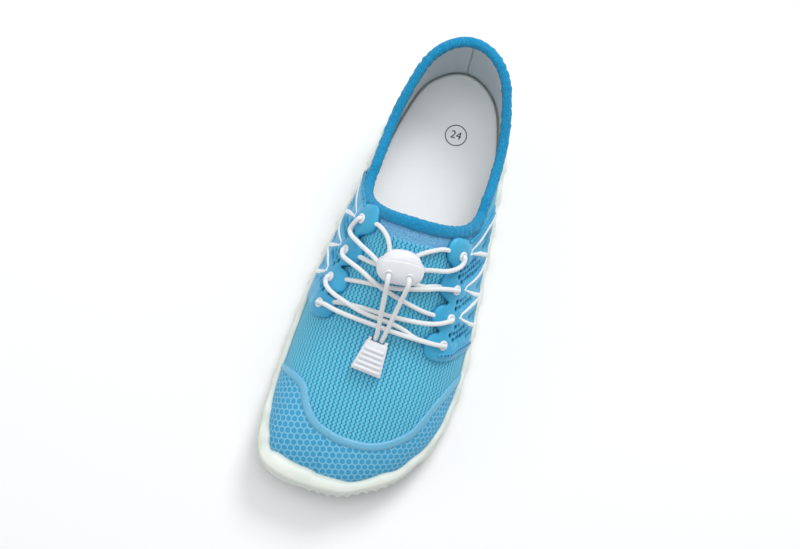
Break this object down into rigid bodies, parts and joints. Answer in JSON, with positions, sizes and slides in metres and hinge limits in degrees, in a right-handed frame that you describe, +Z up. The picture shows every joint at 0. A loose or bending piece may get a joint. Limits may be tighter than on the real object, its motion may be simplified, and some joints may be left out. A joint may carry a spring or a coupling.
{
  "type": "water shoe",
  "caption": "Barefoot-style lace-up water shoe for the left foot, with a stretch knit upper, moulded lacing cage, lugged rubber sole and a cord lock.",
  "frame": {"origin": "on the floor, on a tread lug under the middle of the heel", "axes": "+X toward the outer (lateral) side, -Y toward the toe, +Z up"},
  "size_m": [0.0987, 0.25, 0.0903],
  "materials": {
    "sole_rubber": "matt",
    "insole_foam": "matt",
    "upper_knit": "matt knit",
    "collar_plush": "plush",
    "cage_plastic": "satin",
    "band_film": "satin",
    "white_plastic": "gloss",
    "white_elastic": "braided"
  },
  "bodies": {
    "shoe": {"outsole": "sole_rubber", "insole": "insole_foam", "upper": "upper_knit", "collar_binding": "collar_plush", "cage_lateral": "cage_plastic", "cage_medial": "cage_plastic", "toe_band": "band_film", "eyelet_medial_1": "white_plastic", "eyelet_medial_2": "white_plastic", "eyelet_medial_3": "white_plastic", "eyelet_medial_4": "white_plastic", "eyelet_lateral_1": "white_plastic", "eyelet_lateral_2": "white_plastic", "eyelet_lateral_3": "white_plastic", "eyelet_lateral_4": "white_plastic", "lace_lower": "white_elastic", "lace_upper": "white_elastic", "lace_lead_medial": "white_elastic", "lace_lead_lateral": "white_elastic", "lace_end_medial": "white_elastic", "lace_end_lateral": "white_elastic", "lock_body": "white_plastic", "lace_clip": "white_plastic"},
    "button": {"lock_button": "white_plastic"}
  },
  "joints": [
    {"name": "lock_button_press", "type": "slide", "parent": "shoe", "child": "button", "axis": [0.0864, -0.8898, -0.4482], "range_m": [0, 0.0025], "stiffness_N_per_m": 800, "springref_m": -0.001}
  ]
}
